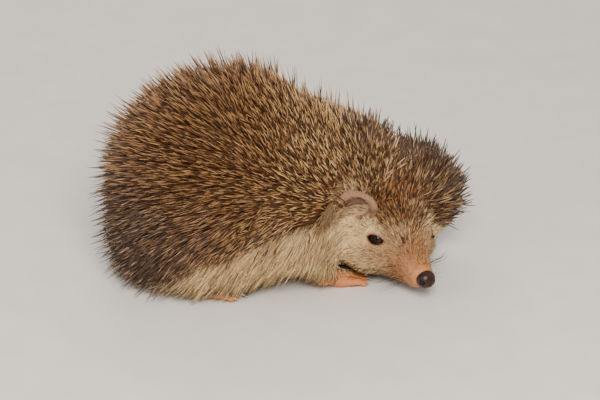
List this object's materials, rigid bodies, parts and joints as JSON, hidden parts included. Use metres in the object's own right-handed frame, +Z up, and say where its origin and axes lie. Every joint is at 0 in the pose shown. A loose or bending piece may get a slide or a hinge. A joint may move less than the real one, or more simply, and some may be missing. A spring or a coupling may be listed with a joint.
{
  "type": "hedgehog",
  "caption": "Life-size still model of a crouching hedgehog, back arched in banded spines, pale furred flank, and head turned aside with its snout low to the ground.",
  "frame": {"origin": "on the floor, under the middle of the body's bounding box", "axes": "+X forward along the back, +Y to the animal's left, +Z up; the head is turned to its right"},
  "size_m": [0.2104, 0.1212, 0.122],
  "materials": {
    "spines": "spines banded cream, brown and tan, stiff and lightly satin",
    "fur": "short coarse cream fur",
    "skin": "bare pinkish tan skin",
    "ear_skin": "thin greyish brown skin",
    "nose_skin": "dark moist skin",
    "eye": "dark glossy eye"
  },
  "bodies": {
    "root": {"trunk_back": "spines", "neck_back": "spines", "crown": "spines", "trunk_belly": "fur", "neck_throat": "fur", "face": "fur", "hindleg_right": "fur", "hindleg_left": "fur", "muzzle": "skin", "tail": "skin", "foreleg_right": "skin", "foreleg_left": "skin", "forefoot_right": "skin", "forefoot_left": "skin", "hindfoot_right": "skin", "hindfoot_left": "skin", "ear_right": "ear_skin", "ear_left": "ear_skin", "nose": "nose_skin", "eye_right": "eye", "eye_left": "eye"}
  },
  "joints": []
}
